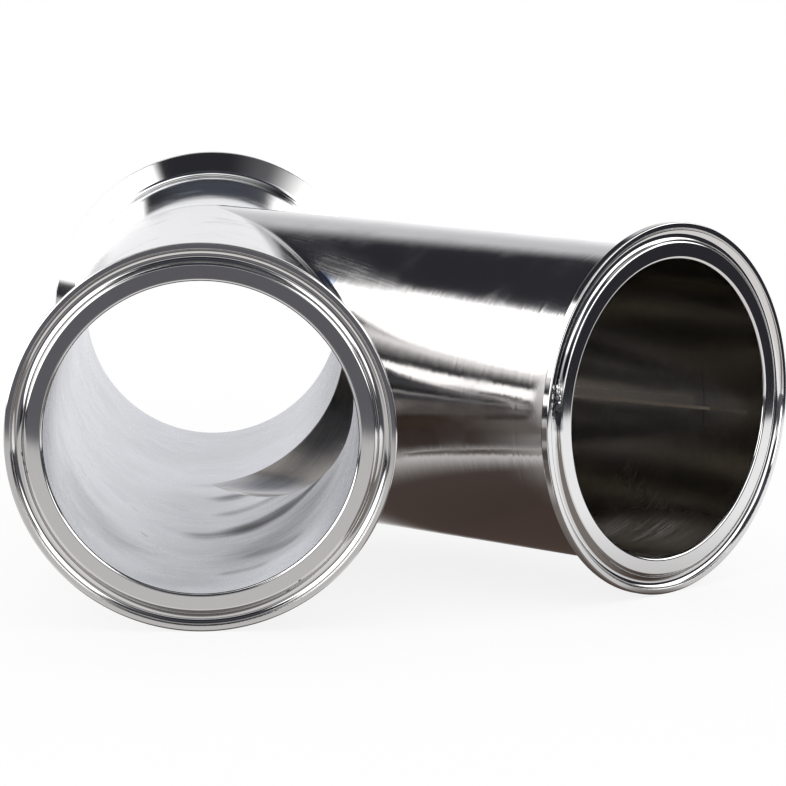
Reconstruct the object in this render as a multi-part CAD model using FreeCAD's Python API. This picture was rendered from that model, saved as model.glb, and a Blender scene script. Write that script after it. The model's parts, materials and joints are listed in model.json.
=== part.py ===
import FreeCAD, Part
import math
import os
from FreeCAD import Vector

# A sanitary lateral wye: three thin tubes mitred to one another, with a clamp
# ferrule butt-welded to the free end of each. Millimetres and degrees, +Z up.
# The origin is where the three centrelines cross. The front leg points along -Y,
# the rear leg along +Y, and the branch leans from the front leg towards +X.

# Tube
TUBE_OD = 101.6
TUBE_WALL = 3.0

# Legs, from the crossing of the centrelines to each sealing face
FRONT_REACH = 210.0
REAR_REACH = 122.0
BRANCH_REACH = 210.0
BRANCH_ANGLE = 45.0

# Ground welds in the two corners beside the branch: the width of their flat face
# at mid height, and how far below the tubes' top they end
WELD_SPAN = 3.2
WELD_DROP = 0.25

# Clamp ferrule
FERRULE_LENGTH = 21.5
RIM_OD = 119.0
RIM_EDGE = 2.85
BACK_BEVEL = 20.0
RIM_BREAK = 0.5
NECK_BREAK = 1.6
MOUTH_BREAK = 1.1

# Gasket groove in the sealing face: a round section, cut as a few flats
GROOVE_DIAMETER = 110.8
GROOVE_RADIUS = 2.29
GROOVE_DEPTH = 1.6
GROOVE_FLATS = 4

# Sizes that follow
TUBE_RADIUS = TUBE_OD / 2
BORE_RADIUS = TUBE_RADIUS - TUBE_WALL
RIM_RADIUS = RIM_OD / 2
OVERRUN = TUBE_OD
FAR = 2 * (FRONT_REACH + BRANCH_REACH)
FRONT_HEADING = 0.0
REAR_HEADING = 180.0
FULL_TURN = 360.0


def heading(angle):
    """Level direction at an angle from the front leg, positive towards the branch."""
    a = math.radians(angle)
    return Vector(math.sin(a), -math.cos(a), 0)


def broken_corner(before, corner, after, size):
    """The two points that replace a corner broken by this size along both of its sides."""
    back = (before - corner).normalize() * size
    ahead = (after - corner).normalize() * size
    return [corner + back, corner + ahead]


def groove_section():
    """Points of the gasket groove's section, from its outer edge to its inner one."""
    centre = Vector(GROOVE_DIAMETER / 2, 0, FERRULE_LENGTH + GROOVE_RADIUS - GROOVE_DEPTH)
    half = math.acos((GROOVE_RADIUS - GROOVE_DEPTH) / GROOVE_RADIUS)
    turns = [half - 2 * half * i / GROOVE_FLATS for i in range(GROOVE_FLATS + 1)]
    return [centre + Vector(math.sin(t), 0, -math.cos(t)) * GROOVE_RADIUS for t in turns]


def ferrule_section():
    """Half section of a ferrule: x is the radius, z runs from the weld to the sealing face."""
    bevel_drop = (RIM_RADIUS - TUBE_RADIUS) * math.tan(math.radians(BACK_BEVEL))
    rim_back = FERRULE_LENGTH - RIM_EDGE
    weld_inside = Vector(BORE_RADIUS, 0, 0)
    weld_outside = Vector(TUBE_RADIUS, 0, 0)
    neck = Vector(TUBE_RADIUS, 0, rim_back - bevel_drop)
    bevel_end = Vector(RIM_RADIUS, 0, rim_back)
    face_outside = Vector(RIM_RADIUS, 0, FERRULE_LENGTH)
    face_inside = Vector(BORE_RADIUS, 0, FERRULE_LENGTH)
    points = [weld_inside, weld_outside]
    points += broken_corner(weld_outside, neck, bevel_end, NECK_BREAK)
    points += broken_corner(neck, bevel_end, face_outside, RIM_BREAK)
    points += broken_corner(bevel_end, face_outside, face_inside, RIM_BREAK)
    points += groove_section()
    points += broken_corner(face_outside, face_inside, weld_inside, MOUTH_BREAK)
    points.append(weld_inside)
    return Part.Face(Part.makePolygon(points))


def place_on_leg(shape, angle, distance):
    """Stand a shape made along +Z on the leg at this angle, its base at this distance."""
    direction = heading(angle)
    turn = FreeCAD.Rotation(Vector(0, 0, 1), direction)
    placed = shape.copy()
    placed.Placement = FreeCAD.Placement(direction * distance, turn)
    return placed


def ferrule(leg):
    """A turned clamp ferrule whose sealing face lies at the reach of a leg."""
    angle, reach = leg
    turned = ferrule_section().revolve(Vector(0, 0, 0), Vector(0, 0, 1), FULL_TURN)
    return place_on_leg(turned, angle, reach - FERRULE_LENGTH)


def sector(from_angle, to_angle):
    """Upright wedge around the origin between two level directions."""
    middle = heading((from_angle + to_angle) / 2) * FAR
    outline = [Vector(0, 0, 0), heading(from_angle) * FAR, middle, heading(to_angle) * FAR]
    outline.append(outline[0])
    base = Part.Face(Part.makePolygon(outline))
    base.translate(Vector(0, 0, -TUBE_OD))
    return base.extrude(Vector(0, 0, 2 * TUBE_OD))


def rod(leg, radius):
    """Round bar along a leg, from behind the crossing to the weld of its ferrule."""
    angle, reach = leg
    bar = Part.makeCylinder(radius, reach - FERRULE_LENGTH + OVERRUN)
    return place_on_leg(bar, angle, -OVERRUN)


def ground_weld(leg, neighbour):
    """Filling of the corner between two legs: flat at mid height, fading towards top and bottom."""
    middle_angle = (leg[0] + neighbour[0]) / 2
    half = math.radians(abs(neighbour[0] - leg[0]) / 2)
    middle = heading(middle_angle)
    across = heading(middle_angle + 90)
    depth = TUBE_RADIUS / math.sin(half) + WELD_SPAN / 2 / math.tan(half)
    top = Vector(0, 0, TUBE_RADIUS - WELD_DROP)
    outline = Part.Ellipse(middle * depth, top, Vector(0, 0, 0)).toShape()
    plate = Part.Face(Part.Wire(outline))
    plate.translate(across * -WELD_SPAN)
    block = plate.extrude(across * 2 * WELD_SPAN)
    own_side = sector(*sorted((leg[0], middle_angle)))
    return block.common(own_side).cut(rod(leg, TUBE_RADIUS))


def leg_tube(leg, from_angle, to_angle, welded_to):
    """A tube from the crossing to its ferrule, mitred to its neighbours and welded to some."""
    tube = rod(leg, TUBE_RADIUS).common(sector(from_angle, to_angle))
    for neighbour in welded_to:
        tube = tube.fuse(ground_weld(leg, neighbour))
    return tube.cut(rod(leg, BORE_RADIUS))


def single_solid(shape):
    """The one solid that a cut leaves, free of leftover seams."""
    solids = shape.removeSplitter().Solids
    if len(solids) != 1:
        raise ValueError("a piece came out as %d solids" % len(solids))
    return solids[0]


def build():
    """Every piece of the wye by its node name. A leg is its heading and its reach."""
    front = (FRONT_HEADING, FRONT_REACH)
    branch = (BRANCH_ANGLE, BRANCH_REACH)
    rear = (REAR_HEADING, REAR_REACH)
    front_branch = (FRONT_HEADING + BRANCH_ANGLE) / 2
    branch_rear = (BRANCH_ANGLE + REAR_HEADING) / 2
    rear_front = (REAR_HEADING + FULL_TURN) / 2
    return {
        "front_tube": leg_tube(front, rear_front - FULL_TURN, front_branch, [branch]),
        "branch_tube": leg_tube(branch, front_branch, branch_rear, [front, rear]),
        "rear_tube": leg_tube(rear, branch_rear, rear_front, [branch]),
        "front_ferrule": ferrule(front),
        "branch_ferrule": ferrule(branch),
        "rear_ferrule": ferrule(rear),
    }


os.makedirs("parts", exist_ok=True)
for node, shape in build().items():
    single_solid(shape).exportStep("parts/%s.step" % node)
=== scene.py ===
import json
import math

import bpy
import numpy as np
from mathutils import Matrix, Vector

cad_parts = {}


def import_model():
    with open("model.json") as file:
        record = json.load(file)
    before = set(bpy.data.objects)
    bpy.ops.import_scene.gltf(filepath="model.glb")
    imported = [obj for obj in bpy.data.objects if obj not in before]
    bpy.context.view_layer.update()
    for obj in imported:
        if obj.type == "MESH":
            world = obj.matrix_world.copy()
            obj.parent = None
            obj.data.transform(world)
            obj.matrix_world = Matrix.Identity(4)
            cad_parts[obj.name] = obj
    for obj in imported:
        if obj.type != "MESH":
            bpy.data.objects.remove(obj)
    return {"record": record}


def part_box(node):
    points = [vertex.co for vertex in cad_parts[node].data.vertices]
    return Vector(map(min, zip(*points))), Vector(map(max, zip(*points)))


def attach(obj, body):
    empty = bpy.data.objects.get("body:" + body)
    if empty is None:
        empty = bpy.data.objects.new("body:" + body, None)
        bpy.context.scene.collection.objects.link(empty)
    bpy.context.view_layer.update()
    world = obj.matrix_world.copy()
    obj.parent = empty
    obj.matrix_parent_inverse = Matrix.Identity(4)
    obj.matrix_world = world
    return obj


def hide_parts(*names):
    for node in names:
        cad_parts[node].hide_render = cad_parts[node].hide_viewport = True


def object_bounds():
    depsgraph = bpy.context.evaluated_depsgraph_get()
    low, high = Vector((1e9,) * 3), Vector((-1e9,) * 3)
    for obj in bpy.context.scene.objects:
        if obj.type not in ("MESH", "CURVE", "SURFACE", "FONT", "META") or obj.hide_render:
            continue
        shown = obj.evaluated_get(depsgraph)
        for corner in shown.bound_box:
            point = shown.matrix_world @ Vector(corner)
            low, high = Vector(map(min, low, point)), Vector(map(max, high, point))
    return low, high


# A polished stainless lateral wye. Metres, +Z up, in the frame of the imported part:
# the origin is where the centrelines cross and the front leg points along -Y.
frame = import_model()
CAD_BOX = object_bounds()

MM = 0.001
TURN = 2 * math.pi
WHITE = (1, 1, 1, 1)

# Sizes read from the frame
MOUNTS = {mount["name"]: mount for mount in frame["record"]["mounts"]}
BORE_RADIUS = MOUNTS["run_bore"]["dims"]["r_mm"] * MM
RIM_RADIUS = MOUNTS["front_rim"]["dims"]["r_mm"] * MM
TUBE_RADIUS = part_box("front_tube")[1].z
FERRULE_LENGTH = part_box("front_ferrule")[1].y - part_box("front_ferrule")[0].y
FLOOR_HEIGHT = CAD_BOX[0][2]
BRANCH_AXIS = np.array(MOUNTS["branch_face"]["axis"])
UP = np.array([0.0, 0.0, 1.0])

# Ferrule section, beyond what the frame gives
RIM_EDGE = 2.85 * MM
BACK_BEVEL = math.radians(20)
NECK_FILLET = 3.0 * MM
RIM_ROUND = 0.5 * MM
MOUTH_ROUND = 1.0 * MM
GROOVE_CENTRE = 55.5 * MM
GROOVE_RADIUS = 2.29 * MM
GROOVE_DEPTH = 1.6 * MM
GROOVE_OUTER_LIP = 0.2 * MM
GROOVE_INNER_LIP = 1.3 * MM

# Ground welds
CROTCH_BLEND = 6.0 * MM
INNER_BLEND = 8.0 * MM
FAR_BLEND_SHARE = 0.12
FAR_BLEND_CHANGE = (-5 * MM, 15 * MM)
INNER_WELD_DIP = 0.30 * MM
INNER_WELD_WIDTH = 9.0 * MM
INNER_WELD_FADE = 8.0 * MM
WELD_DIP = 0.008 * MM
WELD_WIDTH = 0.6 * MM
SEAM_DIP = 0.10 * MM
SEAM_WIDTH = 0.3 * MM
SEAM_BEAD = 0.06 * MM
SEAM_BEAD_OFFSET = 0.75 * MM
SEAM_BEAD_WIDTH = 0.4 * MM
SEAM_FADE = 6.0 * MM

# Mesh density
AROUND = 384
ROWS_ALONG = 56
ARC_STEPS = 8
GROOVE_STEPS = 28
NEAR_CROWDING = 2.2
FAR_CROWDING = 1.8
FAR_STRETCH = 0.48
NEAR_ROWS_END = 0.85
FAR_ROWS_START = 0.86
WELD_LIP_REACH = 2.5

# Solving for the walls
SOLVER_STEPS = 12
FIELD_STEP = 0.002 * MM
ROUND_OFF = 1e-12
LEAST_BLEND = 1e-7

# Finish numbers of the bands in a mesh
OUTSIDE = 0
IN_BORE = 1
ON_NECK = 2


# Legs
def reach(face):
    """Distance from the crossing to a leg's sealing face."""
    mount = MOUNTS[face]
    return float(np.dot(mount["pos_m"], mount["axis"]))


class Leg:
    """One leg: its axis, a level side of it, and the mitres on that side and on the other."""

    def __init__(self, face, side, side_angle, other_angle):
        self.axis = np.array(MOUNTS[face]["axis"])
        self.side = side
        self.reach = reach(face)
        self.weld = self.reach - FERRULE_LENGTH
        self.side_tangent = math.tan(side_angle)
        self.other_tangent = math.tan(other_angle)


BRANCH_ANGLE = math.atan2(BRANCH_AXIS[0], -BRANCH_AXIS[1])
ACUTE_MITRE = BRANCH_ANGLE / 2
OBTUSE_MITRE = (math.pi - BRANCH_ANGLE) / 2
SQUARE_MITRE = math.pi / 2
PLUS_X = np.array([1.0, 0.0, 0.0])
TOWARDS_FRONT = np.cross(BRANCH_AXIS, UP)
LEGS = {
    "front": Leg("front_face", PLUS_X, ACUTE_MITRE, SQUARE_MITRE),
    "branch": Leg("branch_face", -TOWARDS_FRONT, OBTUSE_MITRE, ACUTE_MITRE),
    "rear": Leg("rear_face", PLUS_X, OBTUSE_MITRE, SQUARE_MITRE),
}


# Tube surfaces as a distance field
def axis_distance(points, axis):
    """Distance of points from the line through the origin along an axis."""
    along = points @ axis
    return np.linalg.norm(points - along[..., None] * axis, axis=-1)


def radial(points, axis):
    """Unit vectors from the axis to the points."""
    across = points - (points @ axis)[..., None] * axis
    return across / np.linalg.norm(across, axis=-1, keepdims=True)


def bump_at(value, width):
    """A smooth bump, 1 where the value is 0."""
    return np.exp(-((value / width) ** 2))


def smooth_step(value, low, high):
    """0 below low, 1 above high and smooth between them."""
    t = np.clip((value - low) / (high - low), 0, 1)
    return t * t * (3 - 2 * t)


def seam_relief(points):
    """The raised edge and the fine groove of the weld between the front and rear tubes."""
    y = points[..., 1]
    fade = 1 - smooth_step(points[..., 0], 0, SEAM_FADE)
    groove = SEAM_DIP * bump_at(y, SEAM_WIDTH)
    bead = SEAM_BEAD * bump_at(y + SEAM_BEAD_OFFSET, SEAM_BEAD_WIDTH)
    return fade * (bead - groove)


def weld_relief(points):
    """Shallow dips where the tubes meet their ferrules."""
    dip = np.zeros(points.shape[:-1])
    for leg in LEGS.values():
        dip += bump_at(points @ leg.axis - leg.weld, WELD_WIDTH)
    return -WELD_DIP * dip


def inner_relief(points):
    """A shallow ground strip where the bores of the front tube and the branch meet."""
    turn = BRANCH_ANGLE / 2
    out = points @ np.array([math.sin(turn), -math.cos(turn), 0.0])
    across = points @ np.array([math.cos(turn), math.sin(turn), 0.0])
    return INNER_WELD_DIP * smooth_step(out, 0, INNER_WELD_FADE) * bump_at(across, INNER_WELD_WIDTH)


def wall_field(points, radius, blend, outside):
    """Below 0 inside the joined tubes of a radius, with their corner rounded by a blend."""
    run_axis = LEGS["front"].axis
    run = axis_distance(points, run_axis) - radius
    branch = axis_distance(points, BRANCH_AXIS) - radius
    crossing = (radial(points, run_axis) * radial(points, BRANCH_AXIS)).sum(-1)
    opening = np.clip((1 - crossing) / 2, 0, 1)
    if not outside:
        in_front = smooth_step(points @ run_axis, *FAR_BLEND_CHANGE)
        opening = np.sqrt(opening) * (FAR_BLEND_SHARE + (1 - FAR_BLEND_SHARE) * in_front)
    size = np.maximum(blend * opening, LEAST_BLEND)
    overlap = np.maximum(size - np.abs(run - branch), 0) / size
    joined = np.minimum(run, branch) - overlap**2 * size / 4
    field = np.where(points[..., 0] > 0, joined, run)
    if outside:
        return field - seam_relief(points) - weld_relief(points)
    return field - inner_relief(points)


def field_gradient(points, *shape):
    """Gradient of the wall field by central differences."""
    parts = []
    for direction in np.eye(3) * FIELD_STEP:
        ahead = wall_field(points + direction, *shape)
        behind = wall_field(points - direction, *shape)
        parts.append((ahead - behind) / (2 * FIELD_STEP))
    return np.stack(parts, axis=-1)


def tube_rows():
    """Shares of a leg's length, close together at both of its ends."""
    even = np.linspace(0, 1, ROWS_ALONG)
    near = even**NEAR_CROWDING
    far = 1 - FAR_STRETCH * (1 - even[ROWS_ALONG // 2:]) ** FAR_CROWDING
    rows = np.concatenate([near[near < NEAR_ROWS_END], far[far > FAR_ROWS_START]])
    return np.unique(np.round(rows, 6))


def tube_wall(leg, radius, blend, outside):
    """Rings of points and normals of one tube wall, from the mitre to the ferrule's weld."""
    turn = np.arange(AROUND) * TURN / AROUND
    cos, sin = np.cos(turn), np.sin(turn)
    cos[np.abs(cos) < ROUND_OFF] = 0
    start = radius * np.where(cos > 0, cos / leg.side_tangent, -cos / leg.other_tangent)
    start[np.abs(start) < ROUND_OFF] = 0
    spoke = cos[:, None] * leg.side + sin[:, None] * UP
    share = tube_rows()[:, None]
    along = start + share * (leg.weld - start)
    points = along[..., None] * leg.axis + radius * spoke
    shape = (radius, blend, outside)
    for _ in range(SOLVER_STEPS):
        gradient = field_gradient(points, *shape)
        steepness = (gradient**2).sum(-1, keepdims=True)
        points = points - wall_field(points, *shape)[..., None] * gradient / steepness
    gradient = field_gradient(points, *shape)
    return points, gradient / np.linalg.norm(gradient, axis=-1, keepdims=True)


# Meshes
def ring_mesh(name, rings, starts, ends, finishes):
    """A closed mesh through a cycle of rings, with normals and a finish number for each band."""
    rows, around, _ = rings.shape
    row, column = np.meshgrid(np.arange(rows), np.arange(around), indexing="ij")
    next_row, next_column = (row + 1) % rows, (column + 1) % around
    corners = [(row, column), (next_row, column), (next_row, next_column), (row, next_column)]
    quads = np.stack([r * around + c for r, c in corners], -1).reshape(-1, 4)
    shades = [starts[row, column], ends[row, column], ends[row, next_column]]
    shades.append(starts[row, next_column])
    normals = np.stack(shades, 2).reshape(-1, 4, 3)
    flat = rings.reshape(-1, 3)
    first, second, third = (flat[quads[:, i]] for i in range(3))
    if (np.cross(second - first, third - first) * normals[:, 0]).sum() < 0:
        quads, normals = quads[:, ::-1], normals[:, ::-1]
    mesh = bpy.data.meshes.new(name)
    mesh.from_pydata(flat.tolist(), [], quads.tolist())
    mesh.shade_smooth()
    mesh.polygons.foreach_set("material_index", np.repeat(finishes, around).astype(np.int32))
    mesh.normals_split_custom_set(normals.reshape(-1, 3).tolist())
    piece = bpy.data.objects.new(name, mesh)
    bpy.context.scene.collection.objects.link(piece)
    return piece


def flat_band(first, second):
    """Normals of the band between two rings that lie in one plane or a few."""
    around = np.roll(first, -1, 0) - np.roll(first, 1, 0)
    normal = np.cross(around, second - first)
    return normal / np.linalg.norm(normal, axis=-1, keepdims=True)


def tube_piece(name, leg):
    """One mitred length of tube with its ground welds."""
    outer, outer_normals = tube_wall(leg, TUBE_RADIUS, CROTCH_BLEND, True)
    inner, inner_normals = tube_wall(leg, BORE_RADIUS, INNER_BLEND, False)
    rings = np.concatenate([outer, inner[::-1]])
    smooth = np.concatenate([outer_normals, -inner_normals[::-1]])
    starts, ends = smooth.copy(), np.roll(smooth, -1, 0)
    weld_end = np.broadcast_to(leg.axis, outer[0].shape)
    rows = len(outer)
    starts[rows - 1] = ends[rows - 1] = weld_end
    mitre = flat_band(inner[0], outer[0])
    mitre *= -np.sign(mitre @ leg.axis)[:, None]
    starts[-1] = ends[-1] = mitre
    finishes = np.where(np.arange(len(rings)) >= rows, IN_BORE, OUTSIDE)
    return ring_mesh(name, rings, starts, ends, finishes)


# Ferrule section: x is the radius, y runs from the weld to the sealing face
def fillet(before, corner, after, radius):
    """Points and directions of the arc that rounds a corner."""
    before, corner, after = (np.array(point) for point in (before, corner, after))
    inward = (corner - before) / np.linalg.norm(corner - before)
    onward = (after - corner) / np.linalg.norm(after - corner)
    turn = math.atan2(inward[0] * onward[1] - inward[1] * onward[0], inward @ onward)
    start = corner - inward * radius * math.tan(abs(turn) / 2)
    left = np.array([-inward[1], inward[0]]) * math.copysign(1, turn)
    centre = start + left * radius
    angles = turn * np.arange(ARC_STEPS + 1) / ARC_STEPS
    cos, sin = np.cos(angles), np.sin(angles)
    ahead = cos * inward[0] - sin * inward[1]
    aside = sin * inward[0] + cos * inward[1]
    directions = np.stack([ahead, aside], 1)
    outward = np.stack([directions[:, 1], -directions[:, 0]], 1) * math.copysign(1, turn)
    return centre + outward * radius, directions


def arc(centre, radius, start, end, steps):
    """Points and directions along an arc, its angles from the first to the last."""
    angles = np.linspace(start, end, steps + 1)
    spokes = np.stack([np.cos(angles), np.sin(angles)], 1)
    ahead = np.stack([-spokes[:, 1], spokes[:, 0]], 1) * math.copysign(1, end - start)
    return np.array(centre) + radius * spokes, ahead


def gasket_groove():
    """Points and directions of the groove and its rounded lips, from its outer one inwards."""
    rise = GROOVE_RADIUS - GROOVE_DEPTH
    centre = (GROOVE_CENTRE, FERRULE_LENGTH + rise)

    def lip(radius, side):
        """Centre of a lip's round, and the angle from it to the groove's centre."""
        out = math.sqrt((GROOVE_RADIUS + radius) ** 2 - (rise + radius) ** 2)
        angle = math.atan2(rise + radius, -side * out)
        return (GROOVE_CENTRE + side * out, FERRULE_LENGTH - radius), angle

    outer, outer_angle = lip(GROOVE_OUTER_LIP, 1)
    inner, inner_angle = lip(GROOVE_INNER_LIP, -1)
    upright = math.pi / 2
    return [
        arc(outer, GROOVE_OUTER_LIP, upright, outer_angle, ARC_STEPS),
        arc(centre, GROOVE_RADIUS, outer_angle - math.pi, inner_angle - math.pi, GROOVE_STEPS),
        arc(inner, GROOVE_INNER_LIP, inner_angle, upright, ARC_STEPS),
    ]


def weld_lip():
    """Points and directions of the shallow dip at the ferrule's weld."""
    heights = np.linspace(0, WELD_LIP_REACH * WELD_WIDTH, ARC_STEPS)
    depth = WELD_DIP * bump_at(heights, WELD_WIDTH)
    slope = 2 * heights / WELD_WIDTH**2 * depth
    directions = np.stack([slope, np.ones_like(heights)], 1)
    directions /= np.linalg.norm(directions, axis=1, keepdims=True)
    return np.stack([TUBE_RADIUS - depth, heights], 1), directions


def ferrule_section():
    """Points and outward normals of the turned section, from the weld round to the bore."""
    rim_back = FERRULE_LENGTH - RIM_EDGE
    drop = (RIM_RADIUS - TUBE_RADIUS) * math.tan(BACK_BEVEL)
    weld_outside = (TUBE_RADIUS, 0)
    neck = (TUBE_RADIUS, rim_back - drop)
    bevel_end = (RIM_RADIUS, rim_back)
    face_outside = (RIM_RADIUS, FERRULE_LENGTH)
    face_inside = (BORE_RADIUS, FERRULE_LENGTH)
    weld_inside = (BORE_RADIUS, 0)
    stretches = [
        weld_lip(),
        fillet(weld_outside, neck, bevel_end, NECK_FILLET),
        fillet(neck, bevel_end, face_outside, RIM_ROUND),
        fillet(bevel_end, face_outside, face_inside, RIM_ROUND),
        *gasket_groove(),
        fillet(face_outside, face_inside, weld_inside, MOUTH_ROUND),
        (np.array([weld_inside]), np.array([(0.0, -1.0)])),
    ]
    points = np.concatenate([stretch[0] for stretch in stretches])
    directions = np.concatenate([stretch[1] for stretch in stretches])
    return points, np.stack([directions[:, 1], -directions[:, 0]], 1)


def ferrule_piece(name, leg):
    """A turned clamp ferrule at the end of a leg."""
    points, normals = ferrule_section()
    turn = np.arange(AROUND) * TURN / AROUND
    spoke = np.cos(turn)[:, None] * leg.side + np.sin(turn)[:, None] * UP

    def revolve(section, base):
        return section[:, 0, None, None] * spoke + (section[:, 1] + base)[:, None, None] * leg.axis

    rings, smooth = revolve(points, leg.weld), revolve(normals, 0)
    starts, ends = smooth.copy(), np.roll(smooth, -1, 0)
    starts[-1] = ends[-1] = -leg.axis
    row = np.arange(len(rings))
    finishes = np.where(row < 2 * ARC_STEPS, ON_NECK, OUTSIDE)
    finishes[-2:] = IN_BORE
    return ring_mesh(name, rings, starts, ends, finishes)


# Node graphs
class Graph:
    """Short ways to add shader nodes to a material."""

    def __init__(self, tree):
        self.tree = tree
        tree.nodes.clear()

    def add(self, kind, inputs=(), **settings):
        """A new node, with its inputs linked to sockets or set to values."""
        node = self.tree.nodes.new(kind)
        for name, value in settings.items():
            setattr(node, name, value)
        for name, value in dict(inputs).items():
            socket = node.inputs[name]
            if isinstance(value, bpy.types.NodeSocket):
                self.tree.links.new(value, socket)
            else:
                socket.default_value = value
        return node

    def maths(self, operation, *values):
        inputs = dict(enumerate(values))
        return self.add("ShaderNodeMath", inputs, operation=operation).outputs[0]

    def vector(self, operation, *values):
        node = self.add("ShaderNodeVectorMath", dict(enumerate(values)), operation=operation)
        number = operation in ("DOT_PRODUCT", "DISTANCE")
        return node.outputs["Value" if number else "Vector"]

    def scaled(self, vector, amount):
        node = self.add("ShaderNodeVectorMath", {0: vector, "Scale": amount}, operation="SCALE")
        return node.outputs[0]

    def ramp(self, value, low, high, to_low=0.0, to_high=1.0):
        """A smooth change between two values, from a low place to a high one."""
        inputs = {0: value, 1: low, 2: high, 3: to_low, 4: to_high}
        node = self.add("ShaderNodeMapRange", inputs, interpolation_type="SMOOTHSTEP")
        return node.outputs[0]

    def near(self, place, start, end, radius):
        """1 on a segment between two places, falling off to 0 at the radius."""
        start, end = Vector(start), Vector(end)
        span = end - start
        offset = self.vector("SUBTRACT", place, start[:])
        share = self.vector("DOT_PRODUCT", offset, (span / span.length_squared)[:])
        share = self.add("ShaderNodeClamp", {"Value": share}).outputs[0]
        distance = self.vector("DISTANCE", offset, self.scaled(span[:], share))
        return self.ramp(distance, radius * MARK_CORE, radius, 1.0, 0.0)

    def times(self, *values):
        """The product of one or more values."""
        product = values[0]
        for value in values[1:]:
            product = self.maths("MULTIPLY", product, value)
        return product

    def both_ways(self, noise, amount):
        """A noise around 0.5 as a slope to both sides."""
        return self.maths("MULTIPLY", self.maths("SUBTRACT", noise, 0.5), amount)

    def blend(self, share, first, second):
        inputs = {0: share, 6: first, 7: second}
        return self.add("ShaderNodeMix", inputs, data_type="RGBA").outputs[2]

    def noise(self, vector, scale, detail=2.0, roughness=0.5):
        inputs = {"Vector": vector, "Scale": scale, "Detail": detail, "Roughness": roughness}
        return self.add("ShaderNodeTexNoise", inputs).outputs[0]


def new_material(name):
    """An empty material and its graph."""
    material = bpy.data.materials.new(name)
    material.use_nodes = True
    return material, Graph(material.node_tree)


# Steel
class Finish:
    """How steel was finished: its roughness, that of its hazy places, and the grain round its axis.

    Waver and ripple are how far the grain tips the surface round the axis and along it. Length
    and width are those of its marks. Tone and cloud are how much fine lines and wide patches
    differ in colour."""

    def __init__(self, colour, roughness, haze, waver, ripple, length, width, tone=0.02, cloud=0.0):
        self.colour = colour
        self.roughness = roughness
        self.haze = haze
        self.waver = waver
        self.ripple = ripple
        self.length = length
        self.width = width
        self.tone = tone
        self.cloud = cloud


MIRROR = Finish((0.63, 0.62, 0.615), 0.09, 0.19, 0.045, 0.015, 8 * MM, 0.7 * MM)
REAR_MIRROR = Finish((0.63, 0.63, 0.64), 0.06, 0.10, 0.012, 0.004, 8 * MM, 0.7 * MM)
TURNED = Finish((0.64, 0.635, 0.63), 0.055, 0.075, 0.002, 0.012, 9 * MM, 0.5 * MM)
FRONT_SATIN = Finish((0.63, 0.64, 0.675), 0.27, 0.30, 0.03, 0.02, 30 * MM, 5.0 * MM, 0.02, 0.07)
# The branch bore's steel is painted darker and browner than the front bore's: painted shade, warm like
# the brown table it mirrors
SHADED_BRANCH_SATIN = Finish((0.50, 0.465, 0.41), 0.17, 0.23, 0.018, 0.012, 14 * MM, 1.0 * MM, 0.12, 0.05)


class Mark:
    """A mark along a segment, in millimetres, of use or of painted shade, reflection or highlight. Its
    kind is one of those in WEAR_AND_PAINTED_LIGHT.

    Scuffs and hairs are fine scratches, which are narrow in the direction called across."""

    def __init__(self, kind, start, end, radius, amount=1.0, across=None):
        self.kind = kind
        self.start = [value * MM for value in start]
        self.end = [value * MM for value in end]
        self.radius = radius * MM
        self.amount = amount
        self.across = across


# Directions across scratches
ALONG_BRANCH = (0.7071, -0.7071, 0.0)
OVER_CROTCH = (0.63, 0.38, 0.68)
UP_THE_BORE = (-0.58, 0.78, 0.09)

# Looks of the marks, and of the painted shade, reflection and highlight among them
# Dark nicks, and a painted dark reflection on the branch ferrule
NICK_AND_REFLECTION_COLOUR = (0.10, 0.10, 0.11, 1)
# Colour of painted shade, and its darker tint where the steel is seen edge on
PAINTED_SHADE_COLOUR = (0.12, 0.12, 0.125, 1)
PAINTED_SHADE_EDGE_TINT = (0.35, 0.35, 0.36, 1)
# Warm colour of the seam's painted highlight
SEAM_HIGHLIGHT_COLOUR = (0.95, 0.84, 0.72, 1)
HAIR_COLOUR = (0.80, 0.79, 0.78, 1)
TINT_COLOUR = (0.20, 0.30, 0.52, 1)
HAZE_ROUGHNESS = 0.50
SCUFF_ROUGHNESS = 0.44
HAIR_ROUGHNESS = 0.80
MARK_CORE = 0.1
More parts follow.
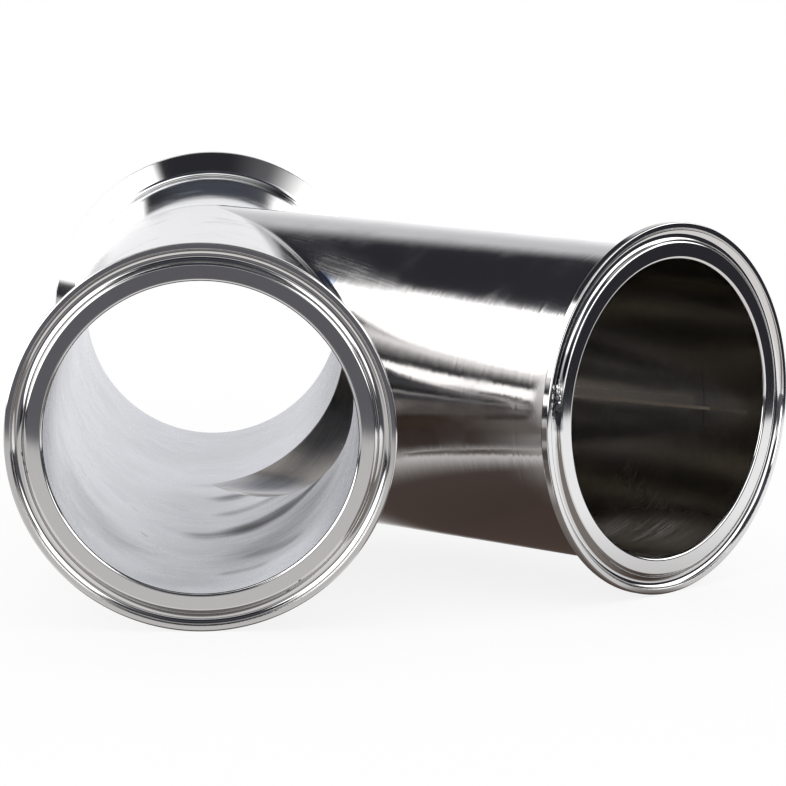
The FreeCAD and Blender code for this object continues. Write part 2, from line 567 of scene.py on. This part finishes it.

# Marks of use, with painted shade, a painted reflection and painted highlights among them, by where they
# are
MARKS = {
    "front_bore": [
        Mark("nick_and_reflection", (-20.2, -127.5, -43.3), (-18.6, -129.4, -44.0), 0.7),
        Mark("nick_and_reflection", (-24.4, -90.5, -41.1), (-22.6, -92.0, -42.1), 0.5, 0.7),
        Mark("nick_and_reflection", (-15.2, -141.5, -45.3), (-14.5, -143.0, -45.5), 0.5, 0.6),
        Mark("nick_and_reflection", (-15.3, -154.0, -45.3), (-14.9, -155.0, -45.4), 0.5, 0.5),
        Mark("nick_and_reflection", (-44.5, -136.0, -17.5), (-43.6, -139.5, -19.6), 0.5, 0.6),
        Mark("nick_and_reflection", (-40.7, -101.6, -25.1), (-40.3, -102.6, -25.7), 0.6, 0.6),
        Mark("nick_and_reflection", (-38.3, -79.7, -28.6), (-37.9, -80.7, -29.1), 0.6, 0.6),
        Mark("nick_and_reflection", (-47.3, -83.7, 7.2), (-47.3, -84.7, 6.8), 0.6, 0.8),
        # Painted shade: darker arcs below the branch opening, and darker patches over the lower and right
        # side of the bore
        Mark("painted_shade", (42.0, -102.0, -22.8), (33.7, -99.6, -33.9), 5.5, 0.70),
        Mark("painted_shade", (33.7, -99.6, -33.9), (25.4, -104.2, -40.5), 8.0, 0.80),
        Mark("painted_shade", (25.4, -100.0, -40.5), (15.0, -104.0, -45.4), 14.0, 0.95),
        Mark("painted_shade", (15.0, -104.0, -45.4), (0.0, -108.0, -47.8), 11.0, 0.48),
        Mark("painted_shade", (24.0, -16.0, -41.3), (7.9, -34.0, -47.1), 10.0, 0.60),
        Mark("painted_shade", (24.0, -62.0, -41.3), (8.8, -67.0, -47.0), 9.0, 0.35),
        Mark("painted_shade", (36.0, -128.0, -31.4), (20.0, -146.0, -43.4), 20.0, 0.32),
        Mark("painted_shade", (27.0, -166.0, -39.4), (17.3, -157.0, -44.6), 8.0, 0.35),
        Mark("painted_shade", (17.3, -181.0, -44.6), (8.0, -179.0, -47.1), 5.0, 0.25),
        Mark("painted_shade", (34.0, -80.0, -33.6), (24.0, -160.0, -41.3), 32.0, 0.35),
        Mark("painted_shade", (2.0, -40.0, -47.7), (0.0, -190.0, -47.8), 30.0, 0.14),
        Mark("painted_shade", (-37.0, -146.0, -30.2), (-28.0, -158.0, -38.7), 22.0, 0.18),
    ],
    "front_ferrule": [
        Mark("nick_and_reflection", (29.8, -210.0, -43.9), (30.2, -210.0, -43.6), 0.5),
        Mark("nick_and_reflection", (26.1, -209.0, -47.1), (26.8, -209.3, -46.7), 0.5),
        Mark("nick_and_reflection", (-54.0, -208.7, -4.6), (-53.8, -208.7, -5.2), 0.6),
        Mark("nick_and_reflection", (-53.4, -208.9, -7.3), (-53.3, -209.0, -8.0), 0.6, 0.8),
        Mark("nick_and_reflection", (-52.5, -209.5, -10.0), (-52.4, -209.5, -10.4), 0.6, 0.8),
    ],
    "branch_ferrule": [
        # Two wide dark marks: a painted reflection of the front ferrule in this rim
        Mark("nick_and_reflection", (112.4, -184.0, 21.5), (110.6, -185.4, 14.5), 3.0, 1.0),
        Mark("nick_and_reflection", (110.0, -186.6, 3.6), (110.2, -186.4, -0.4), 2.2, 1.0),
        Mark("pits", (109.4, -187.0, 14.0), (109.2, -187.2, 4.5), 3.4, 1.0),
    ],
    "branch_neck": [
        Mark("haze", (105.5, -178.0, 14.0), (106.5, -177.0, 2.0), 8.0, 0.7),
    ],
    "branch_tube": [
        Mark("haze", (38.0, -80.0, 41.0), (58.0, -110.0, 35.5), 11.0, 0.26),
        Mark("scuff", (31.0, -64.0, 45.0), (50.0, -96.0, 38.5), 12.0, 0.40, OVER_CROTCH),
        Mark("scuff", (39.0, -84.0, 39.8), (60.0, -112.0, 34.5), 8.0, 0.45, OVER_CROTCH),
        Mark("scuff", (64.1, -117.7, 36.5), (64.4, -118.0, 33.0), 4.5, 0.6, ALONG_BRANCH),
        Mark("tint", (37.6, -88.5, 36.8), (41.0, -94.5, 33.8), 3.2, 0.7),
    ],
    "branch_bore": [
        Mark("nick_and_reflection", (163.4, -96.1, 4.8), (164.4, -96.9, -3.5), 0.35, 0.8),
        Mark("nick_and_reflection", (164.4, -96.9, -3.5), (164.0, -98.4, -11.5), 0.35, 0.8),
        Mark("haze", (130.0, -112.0, -45.5), (154.0, -132.0, -43.5), 24.0, 0.85),
        Mark("hairs", (131.0, -110.0, -45.0), (151.0, -124.0, -44.0), 15.0, 0.75, UP_THE_BORE),
        Mark("hairs", (139.0, -87.0, -30.0), (149.7, -108.5, -38.9), 9.0, 0.30, ALONG_BRANCH),
        # The welded tube's seam; its bright warm lines and the wide glow along them are a painted
        # highlight
        Mark("seam_and_highlight", (124.6, -58.0, -8.4), (166.0, -99.0, -6.9), 0.9, 1.0),
        Mark("seam_and_highlight", (163.0, -96.0, -6.9), (177.0, -110.0, -6.7), 1.1, 0.28),
        Mark("seam_and_highlight", (124.6, -58.0, -6.8), (160.0, -93.0, -5.2), 4.5, 0.45),
        Mark("seam_and_highlight", (120.0, -51.0, 1.5), (165.0, -96.0, 3.0), 1.2, 0.30),
        # Painted shade along the inside of the crotch, down to its lowest point
        Mark("painted_shade", (48.0, 15.0, -17.0), (39.0, 5.0, -36.0), 18.0, 0.50),
        Mark("painted_shade", (36.0, 5.0, -38.0), (24.0, -5.0, -46.0), 18.0, 0.50),
        Mark("painted_shade", (24.0, -8.0, -46.0), (6.0, -12.0, -47.8), 14.0, 0.40),
        Mark("tint", (6.0, 0.0, -47.6), (28.0, -22.0, -47.7), 18.0, 0.20),
    ],
}


# A noise is its lumps per metre, its detail and its roughness. A span is the part of it in use.
SLOW_NOISE = (30.0, 1.0)
SLOW_WAVER = 0.02
LINES_PER_STREAK = 4
LINE_DETAIL = (2.0, 0.6)
LINE_WAVER = 0.5
SMUDGE_NOISE = (55.0, 5.0, 0.6)
SMUDGE_SPAN = (0.42, 0.75)
CLOUD_NOISE = (26.0, 3.0, 0.6)
WIDE_SPAN = (0.3, 0.7)
# How painted shade follows the grain
PAINTED_SHADE_SPAN = (0.35, 0.65)
PAINTED_SHADE_SHARES = (0.8, 1.1)
PIT_NOISE = (1100.0, 1.0)
PIT_SPAN = (0.50, 0.56)
DENT_NOISE = (900.0, 1.0)
DENT_SLOPE = 2.5
SCRATCH_NOISE = (55.0, 3.0, 0.6)
SCRATCH_WIDTH = 0.03
SCUFF_SPAN = (0.30, 0.72)
SCUFF_SHARES = (0.45, 1.0)
HAIR_SPAN = (0.42, 0.66)


def grain(graph, place, axis, length, width):
    """The place drawn out across an axis, so that noise there makes streaks around it."""
    along = graph.vector("DOT_PRODUCT", place, axis)
    stretch = graph.maths("MULTIPLY", along, length / width - 1)
    return graph.vector("ADD", place, graph.scaled(axis, stretch))


class Surface:
    """A steel surface while its marks of use, and the shade, reflection and highlights painted on it, are
    laid on it.
    """

    def __init__(self, graph, place, streaks, colour, blur, sway):
        self.graph = graph
        self.place = place
        self.streaks = streaks
        self.colour = colour
        self.blur = blur
        self.sway = sway
        self.painted_edge_shade = None

    def paint(self, share, colour):
        """Turn the surface to a colour by a share."""
        self.colour = self.graph.blend(share, self.colour, colour)

    def roughen(self, share, roughness):
        """Bring the surface to a roughness by a share."""
        self.blur = self.graph.ramp(share, 0.0, 1.0, self.blur, roughness)

    def scratches(self, mark, span, shares):
        """Fine scratches, which are narrow in the mark's direction across."""
        drawn = grain(self.graph, self.place, mark.across, 1.0, SCRATCH_WIDTH)
        noise = self.graph.noise(drawn, *SCRATCH_NOISE)
        return self.graph.ramp(noise, *span, *shares)


def nick_and_reflection(surface, mark, share):
    """A dark speck or a dark short line: a nick, and on the branch ferrule's rim a painted dark
    reflection.
    """
    surface.paint(share, NICK_AND_REFLECTION_COLOUR)


def painted_shade(surface, mark, share):
    """Painted shade: a darker patch, dark also where it is seen edge on, with the grain showing in it."""
    graph = surface.graph
    share = graph.times(share, graph.ramp(surface.streaks, *PAINTED_SHADE_SPAN, *PAINTED_SHADE_SHARES))
    surface.paint(share, PAINTED_SHADE_COLOUR)
    surface.painted_edge_shade = graph.blend(share, surface.painted_edge_shade or WHITE, PAINTED_SHADE_EDGE_TINT)


def tint(surface, mark, share):
    """A bluish patch."""
    surface.paint(share, TINT_COLOUR)


def haze(surface, mark, share):
    """A patch that has lost its polish."""
    surface.roughen(share, HAZE_ROUGHNESS)


def seam_and_highlight(surface, mark, share):
    """A warm matt line along a welded tube, painted brighter as a highlight."""
    surface.paint(share, SEAM_HIGHLIGHT_COLOUR)
    surface.roughen(share, HAZE_ROUGHNESS)


def pits(surface, mark, share):
    """Small dents with dark specks among them."""
    graph = surface.graph
    specks = graph.ramp(graph.noise(surface.place, *PIT_NOISE), *PIT_SPAN)
    surface.paint(graph.times(share, specks), NICK_AND_REFLECTION_COLOUR)
    dents = graph.both_ways(graph.noise(surface.place, *DENT_NOISE), DENT_SLOPE)
    surface.sway = graph.maths("ADD", surface.sway, graph.times(share, dents))


def scuff(surface, mark, share):
    """A rubbed patch of fine scratches."""
    share = surface.graph.times(share, surface.scratches(mark, SCUFF_SPAN, SCUFF_SHARES))
    surface.roughen(share, SCUFF_ROUGHNESS)


def hairs(surface, mark, share):
    """Separate bright scratches."""
    share = surface.graph.times(share, surface.scratches(mark, HAIR_SPAN, (0.0, 1.0)))
    surface.paint(share, HAIR_COLOUR)
    surface.roughen(share, HAIR_ROUGHNESS)


# Marks of use, painted shade, painted reflection and painted highlight, by kind
WEAR_AND_PAINTED_LIGHT = {
    "nick_and_reflection": nick_and_reflection,
    "painted_shade": painted_shade,
    "tint": tint,
    "haze": haze,
    "seam_and_highlight": seam_and_highlight,
    "pits": pits,
    "scuff": scuff,
    "hairs": hairs,
}


def steel(name, axis, finish, marks):
    """Stainless steel whose polishing marks run around an axis, with the marks of its use and the shade,
    reflection and highlights painted on it.
    """
    material, graph = new_material(name)
    axis = tuple(float(value) for value in axis)
    place = graph.add("ShaderNodeTexCoord").outputs["Object"]
    normal = graph.add("ShaderNodeNewGeometry").outputs["Normal"]
    spoke = graph.vector("CROSS_PRODUCT", axis, place)
    around = graph.vector("NORMALIZE", spoke)
    across = graph.vector("CROSS_PRODUCT", around, normal)

    # The grain's lines lie side by side along the tubes, and as circles on the faces
    radius = graph.vector("DISTANCE", spoke, (0.0, 0.0, 0.0))
    drawn = graph.vector("ADD", place, graph.scaled(axis, radius))
    drawn = grain(graph, drawn, axis, finish.length, finish.width)
    streaks = graph.noise(drawn, 1 / finish.length)
    lines = graph.noise(drawn, LINES_PER_STREAK / finish.length, *LINE_DETAIL)

    tilt = graph.both_ways(streaks, finish.waver)
    tilt = graph.maths("ADD", tilt, graph.both_ways(lines, finish.waver * LINE_WAVER))
    slow = graph.both_ways(graph.noise(place, *SLOW_NOISE), SLOW_WAVER)
    tilt = graph.maths("ADD", tilt, slow)
    sway = graph.both_ways(lines, finish.ripple)
    smudge = graph.ramp(graph.noise(place, *SMUDGE_NOISE), *SMUDGE_SPAN)
    blur = graph.ramp(smudge, 0.0, 1.0, finish.roughness, finish.haze)
    tone = graph.ramp(lines, *WIDE_SPAN, 1 - finish.tone, 1 + finish.tone)
    cloud = graph.noise(place, *CLOUD_NOISE)
    cloud = graph.ramp(cloud, *WIDE_SPAN, 1 - finish.cloud, 1 + finish.cloud)
    colour = graph.scaled(finish.colour, graph.times(tone, cloud))

    surface = Surface(graph, place, streaks, colour, blur, sway)
    for mark in marks:
        share = graph.times(graph.near(place, mark.start, mark.end, mark.radius), mark.amount)
        WEAR_AND_PAINTED_LIGHT[mark.kind](surface, mark, share)

    bent = graph.vector("ADD", normal, graph.scaled(around, tilt))
    bent = graph.vector("ADD", bent, graph.scaled(across, surface.sway))
    inputs = {
        "Base Color": surface.colour,
        "Metallic": 1.0,
        "Roughness": surface.blur,
        "Normal": graph.vector("NORMALIZE", bent),
    }
    # Painted shade also darkens the steel's reflection seen edge on
    if surface.painted_edge_shade:
        inputs["Specular Tint"] = surface.painted_edge_shade
    shader = graph.add("ShaderNodeBsdfPrincipled", inputs)
    graph.add("ShaderNodeOutputMaterial", {"Surface": shader.outputs[0]})
    return material


# Studio
class Light:
    """A patch of the surroundings, in degrees.

    Turn is its span round from the front, or from its own centre, and height its span above the
    horizon. Their edges are how soft its sides are."""

    def __init__(self, colour, turn, height, turn_edge, height_edge, centre=0.0):
        self.colour = colour
        self.turn = turn
        self.height = height
        self.turn_edge = turn_edge
        self.height_edge = height_edge
        self.centre = centre


DARK_ROOM = (0.033, 0.033, 0.040)
SOFTBOX = (2.8, 2.8, 2.8)
SURROUNDINGS = {
    "front_haze": Light((0.15, 0.147, 0.165), (-34, 12), (-90, 7), 8, 1.5),
    "dim_front_haze": Light((0.10, 0.10, 0.11), (12, 60), (-90, 7), 8, 1.5),
    "right_haze": Light((0.17, 0.17, 0.18), (12, 45), (20, 50), 8, 6),
    "front_window": Light((0.9, 0.9, 0.9), (-60, 60), (8.5, 15), 15, 1.5),
    "front_top": Light((0.085, 0.095, 0.12), (-30, 40), (40, 52), 10, 4),
    "ceiling": Light((0.20, 0.20, 0.20), (-180, 180), (60, 90), 1, 6),
    "front_ceiling": Light((0.05, 0.05, 0.055), (-60, 60), (54, 80), 15, 5),
    "backdrop": Light((0.72, 0.72, 0.74), (-28, 28), (-40, 33), 14, 6, 180.0),
    "low_backdrop": Light((1.0, 1.0, 1.02), (-28, 28), (-40, 14), 14, 10, 180.0),
    "left_softbox": Light(SOFTBOX, (-124, -42), (1.0, 46), 5, 1.5),
    "left_front_softbox": Light(SOFTBOX, (-50, -19), (1.0, 34), 2.5, 1.5),
    "left_top_softbox": Light(SOFTBOX, (-108, -60), (42, 90), 6, 5),
    "right_front_softbox": Light(SOFTBOX, (26, 50), (3, 38), 9, 2),
    "right_softbox": Light(SOFTBOX, (45, 135), (22, 48), 5, 2.5),
    "top_right": Light((1.5, 1.5, 1.5), (45, 135), (75, 90), 5, 16),
    "zenith": Light((1.8, 1.8, 1.8), (-180, 180), (82, 90), 1, 6),
}
DOME_RADIUS = 12.0
DOME_SEGMENTS = 64
DOME_RINGS = 32
ALL_ROUND = 180
STRAIGHT_UP = 90


def patch_share(graph, light, turn, height):
    """1 inside a patch of the surroundings, 0 outside and soft at its edges."""
    if light.centre:
        turn = graph.maths("SUBTRACT", turn, light.centre)
        turn = graph.maths("WRAP", turn, ALL_ROUND, -ALL_ROUND)
    shares = []
    sides = [
        (turn, ALL_ROUND, light.turn, light.turn_edge),
        (height, STRAIGHT_UP, light.height, light.height_edge),
    ]
    for value, limit, (low, high), edge in sides:
        if low > -limit:
            shares.append(graph.ramp(value, low - edge, low + edge))
        if high < limit:
            shares.append(graph.ramp(value, high - edge, high + edge, 1.0, 0.0))
    return graph.times(*shares)


def surroundings_material():
    """What the steel mirrors besides the table: softboxes, a white backdrop and a dark room."""
    material, graph = new_material("studio_surroundings")
    place = graph.add("ShaderNodeNewGeometry").outputs["Position"]
    ray = graph.add("ShaderNodeSeparateXYZ", {0: graph.vector("NORMALIZE", place)}).outputs
    ahead = graph.maths("MULTIPLY", ray[1], -1.0)
    turn = graph.maths("DEGREES", graph.maths("ARCTAN2", ray[0], ahead))
    height = graph.maths("DEGREES", graph.maths("ARCSINE", ray[2]))
    colour = (*DARK_ROOM, 1)
    for light in SURROUNDINGS.values():
        share = patch_share(graph, light, turn, height)
        colour = graph.blend(share, colour, (*light.colour, 1))
    glow = graph.add("ShaderNodeEmission", {"Color": colour})
    graph.add("ShaderNodeOutputMaterial", {"Surface": glow.outputs[0]})
    material.cycles.emission_sampling = "NONE"
    return material


def only_mirrored(piece):
    """Leave a stage piece to glossy rays alone."""
    piece.visible_camera = False
    piece.visible_diffuse = False
    piece.visible_shadow = False
    piece.visible_transmission = False


def surroundings():
    """A large ball of studio surroundings that only mirror reflections see."""
    sizes = {"segments": DOME_SEGMENTS, "ring_count": DOME_RINGS, "radius": DOME_RADIUS}
    bpy.ops.mesh.primitive_uv_sphere_add(**sizes)
    ball = bpy.context.object
    ball.name = "studio_surroundings"
    ball.data.materials.append(surroundings_material())
    only_mirrored(ball)


# The floor, in metres. Glossy rays see a table there. A rise or a fade runs between two places.
TABLE_FRONT = -0.615
TABLE_BACK = 4.0
TABLE_HALF_WIDTH = 4.0
SHADOW_SHARE = 0.15
TABLE_TOP = (0.95, 0.93, 0.92, 1)
# Painted reflection: the table's brightness at a low angle, from the surroundings it would mirror
SHEEN_LEFT = (0.72, 0.71, 0.71, 1)
SHEEN_RIGHT = (1.25, 1.25, 1.27, 1)
SHEEN_BEHIND = (0.62, 0.62, 0.63, 1)
SHEEN_RISE = (0.12, 0.34)
BEHIND_RISE = (-0.06, 0.06)
BACK_RISE = (0.15, 0.30)
LOW_ANGLE_RISE = (0.58, 0.82)
UNDER_RIM_RISE = (-0.221, -0.213)
UNDER_RIM_FADE = (-0.184, -0.176)
BETWEEN_RISE = (-0.21, -0.15)
BETWEEN_FADE = (-0.085, -0.025)
BETWEEN_END = (0.140, 0.172)
FRONT_END = (TABLE_FRONT, -0.575)
RIGHT_END = (0.530, 0.552)


class Patch:
    """A patch of the table: its colour, and where it rises and fades along x and along y."""

    def __init__(self, colour, x_rise=None, x_fade=None, y_rise=None, y_fade=None):
        self.colour = (*colour, 1)
        self.sides = [(x_rise, x_fade), (y_rise, y_fade)]


# Painted shade and reflection of the front ring on the table, beneath the ring
SHADE_UNDER_RIM = Patch((0.16, 0.15, 0.145), (-0.06, -0.04), (0.04, 0.06), UNDER_RIM_RISE, UNDER_RIM_FADE)
# Seen steeply: a darker front far ahead, and painted shade under and beside the wye
STEEP_PATCHES = {
    "in_front": Patch((0.13, 0.125, 0.125), y_fade=(-0.37, -0.33)),
    "shade_under_rim": SHADE_UNDER_RIM,
    "shade_beside_run": Patch((0.085, 0.065, 0.058), (-0.004, 0.042), BETWEEN_END, BETWEEN_RISE, BETWEEN_FADE),
    "shade_between_legs": Patch((0.070, 0.050, 0.043), (0.040, 0.090), BETWEEN_END, BETWEEN_RISE, BETWEEN_FADE),
    "shade_under_run": Patch((0.11, 0.09, 0.08), None, (0.004, 0.012), BETWEEN_RISE, BETWEEN_FADE),
}
# Laid over the low-angle sheen: painted shade under the branch, a painted lit spot beside it, and the
# room beyond the table's ends
PATCHES_OVER_SHEEN = {
    "shade_under_branch": Patch((0.080, 0.056, 0.047), (0.068, 0.092), (0.143, 0.167), y_fade=(-0.12, -0.06)),
    "lit_spot": Patch((0.26, 0.235, 0.22), (0.066, 0.082), (0.142, 0.158), y_fade=(-0.178, -0.152)),
    "front_end": Patch((0.15, 0.147, 0.165), y_fade=FRONT_END),
    "right_end": Patch(DARK_ROOM, RIGHT_END),
}


def lay(graph, colour, patches, places):
    """A colour with patches laid over it, at places along x and y."""
    for patch in patches.values():
        shares = []
        for place, (rise, fade) in zip(places, patch.sides):
            if rise:
                shares.append(graph.ramp(place, *rise))
            if fade:
                shares.append(graph.ramp(place, *fade, 1.0, 0.0))
        colour = graph.blend(graph.times(*shares), colour, patch.colour)
    return colour


def mirrored_table(graph):
    """The glossy brown table that the steel mirrors: brown from above, with painted shade under the wye,
    and bright at a low angle as a painted reflection of its surroundings.
    """
    point = graph.add("ShaderNodeTexCoord").outputs["Object"]
    x, y, _ = graph.add("ShaderNodeSeparateXYZ", {0: point}).outputs
    # Painted reflection of the surroundings, seen at a low angle
    sheen = graph.blend(graph.ramp(x, *SHEEN_RISE), SHEEN_LEFT, SHEEN_RIGHT)
    behind = graph.blend(graph.ramp(x, *BEHIND_RISE), SHEEN_BEHIND, SHEEN_RIGHT)
    sheen = graph.blend(graph.ramp(y, *BACK_RISE), sheen, behind)
    below = lay(graph, TABLE_TOP, STEEP_PATCHES, (x, y))
    facing = graph.add("ShaderNodeLayerWeight", {"Blend": 0.5}).outputs["Facing"]
    colour = graph.blend(graph.ramp(facing, *LOW_ANGLE_RISE), below, sheen)
    return lay(graph, colour, PATCHES_OVER_SHEEN, (x, y))


def floor():
    """A white floor with the object's soft shadow. Steel mirrors it as a table that ends nearby."""
    mesh = bpy.data.meshes.new("studio_floor")
    across, back = TABLE_HALF_WIDTH, TABLE_BACK
    corners = [(-across, TABLE_FRONT), (across, TABLE_FRONT), (across, back), (-across, back)]
    mesh.from_pydata([(x, y, FLOOR_HEIGHT) for x, y in corners], [], [(0, 1, 2, 3)])
    sheet = bpy.data.objects.new("studio_floor", mesh)
    bpy.context.scene.collection.objects.link(sheet)
    material, graph = new_material("white_floor")
    rays = graph.add("ShaderNodeLightPath").outputs
    seen = graph.maths("MULTIPLY", rays["Is Camera Ray"], 1 - SHADOW_SHARE)
    share = graph.maths("MAXIMUM", seen, rays["Is Glossy Ray"])
    colour = graph.blend(rays["Is Glossy Ray"], WHITE, mirrored_table(graph))
    paint = graph.add("ShaderNodeBsdfDiffuse", {"Color": WHITE})
    white = graph.add("ShaderNodeEmission", {"Color": colour})
    mixed = graph.add("ShaderNodeMixShader", {0: share, 1: paint.outputs[0], 2: white.outputs[0]})
    graph.add("ShaderNodeOutputMaterial", {"Surface": mixed.outputs[0]})
    material.cycles.emission_sampling = "NONE"
    sheet.data.materials.append(material)


def world():
    """Plain white light from everywhere, which the steel doesn't mirror."""
    sky = bpy.data.worlds.new("white_studio")
    bpy.context.scene.world = sky
    sky.use_nodes = True
    graph = Graph(sky.node_tree)
    white = graph.add("ShaderNodeBackground", {"Color": WHITE, "Strength": 1.0})
    graph.add("ShaderNodeOutputWorld", {"Surface": white.outputs[0]})
    sky.cycles_visibility.glossy = False


# Camera, as fitted to the outlines in the photo
CAMERA_PLACE = Vector((0.01826, -1.47857, 0.19172))
CAMERA_HEADING = math.radians(1.80)
CAMERA_TILT = math.radians(-7.978)
CAMERA_ROLL = math.radians(0.221)
LENS = 194.167
SENSOR = 36.0
NEAREST = 0.01
FARTHEST = 100


def camera():
    """The camera at the photograph's viewing angle."""
    level = math.cos(CAMERA_TILT)
    ahead = math.cos(CAMERA_HEADING) * level
    aside = math.sin(CAMERA_HEADING) * level
    forward = Vector((aside, ahead, math.sin(CAMERA_TILT)))
    right = Vector((math.cos(CAMERA_HEADING), -math.sin(CAMERA_HEADING), 0))
    top = right.cross(forward)
    tipped = right * math.cos(CAMERA_ROLL) + top * math.sin(CAMERA_ROLL)
    data = bpy.data.cameras.new("camera")
    data.sensor_width = SENSOR
    data.lens = LENS
    data.clip_start = NEAREST
    data.clip_end = FARTHEST
    viewer = bpy.data.objects.new("camera", data)
    axes = Matrix((tipped, tipped.cross(forward), -forward)).transposed()
    viewer.matrix_world = Matrix.Translation(CAMERA_PLACE) @ axes.to_4x4()
    bpy.context.scene.collection.objects.link(viewer)
    bpy.context.scene.camera = viewer


# The wye
BORES = {"front": FRONT_SATIN, "branch": SHADED_BRANCH_SATIN, "rear": FRONT_SATIN}
POLISHES = {"front": MIRROR, "branch": MIRROR, "rear": REAR_MIRROR}


def dress(piece, place, part, slot, finish):
    """Give a piece its steel, and set it on the frame in place of its node."""
    axis = LEGS[place].axis
    node = place + "_" + part
    outside = steel(slot + "_" + place, axis, finish, MARKS.get(node, ()))
    bore = steel(slot + "_bore_" + place, axis, BORES[place], MARKS.get(place + "_bore", ()))
    piece.data.materials.append(outside)
    piece.data.materials.append(bore)
    if part == "ferrule":
        neck = steel(slot + "_neck_" + place, axis, POLISHES[place], MARKS.get(place + "_neck", ()))
        piece.data.materials.append(neck)
    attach(piece, "root")
    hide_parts(node)


def build():
    """Every visible piece, dressed and set on the frame."""
    for place, leg in LEGS.items():
        dress(tube_piece(place + "_tube_wall", leg), place, "tube", "polished_tube", POLISHES[place])
        dress(ferrule_piece(place + "_ferrule_ring", leg), place, "ferrule", "turned_ferrule", TURNED)


bpy.context.scene.view_settings.view_transform = "Standard"
build()
floor()
surroundings()
world()
camera()
